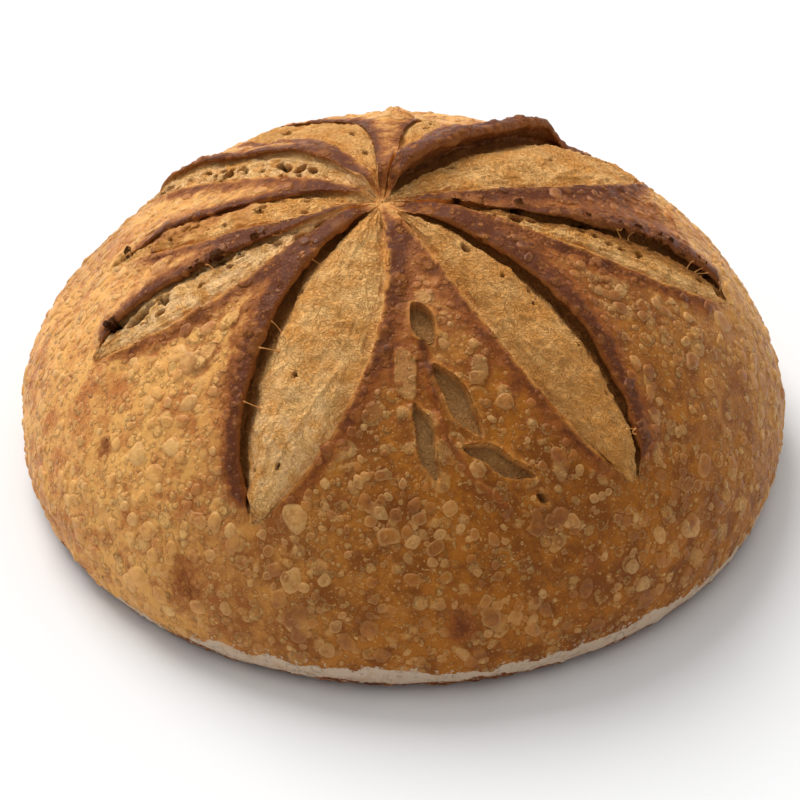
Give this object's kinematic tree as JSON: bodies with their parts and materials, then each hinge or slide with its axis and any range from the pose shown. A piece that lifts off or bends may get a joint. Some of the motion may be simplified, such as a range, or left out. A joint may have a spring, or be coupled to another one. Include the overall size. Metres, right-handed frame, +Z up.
{
  "type": "sourdough loaf",
  "caption": "Round scored sourdough loaf: a domed, blistered brown crust with a star of petal cuts, raised ears, pale crumb and a flat floured base.",
  "frame": {"origin": "centre of the loaf's box, on the surface it rests on", "axes": "+Z up through the loaf's crown; -Y towards the side with the small ear of wheat between the two widest front cuts"},
  "size_m": [0.2498, 0.2498, 0.1112],
  "materials": {
    "crust": "satin baked crust, golden to mahogany brown, blistered",
    "crumb": "matt, fibrous, pale golden crumb",
    "flour": "matt flour dust over pale crust"
  },
  "bodies": {
    "root": {"loaf": "crust"}
  },
  "joints": []
}
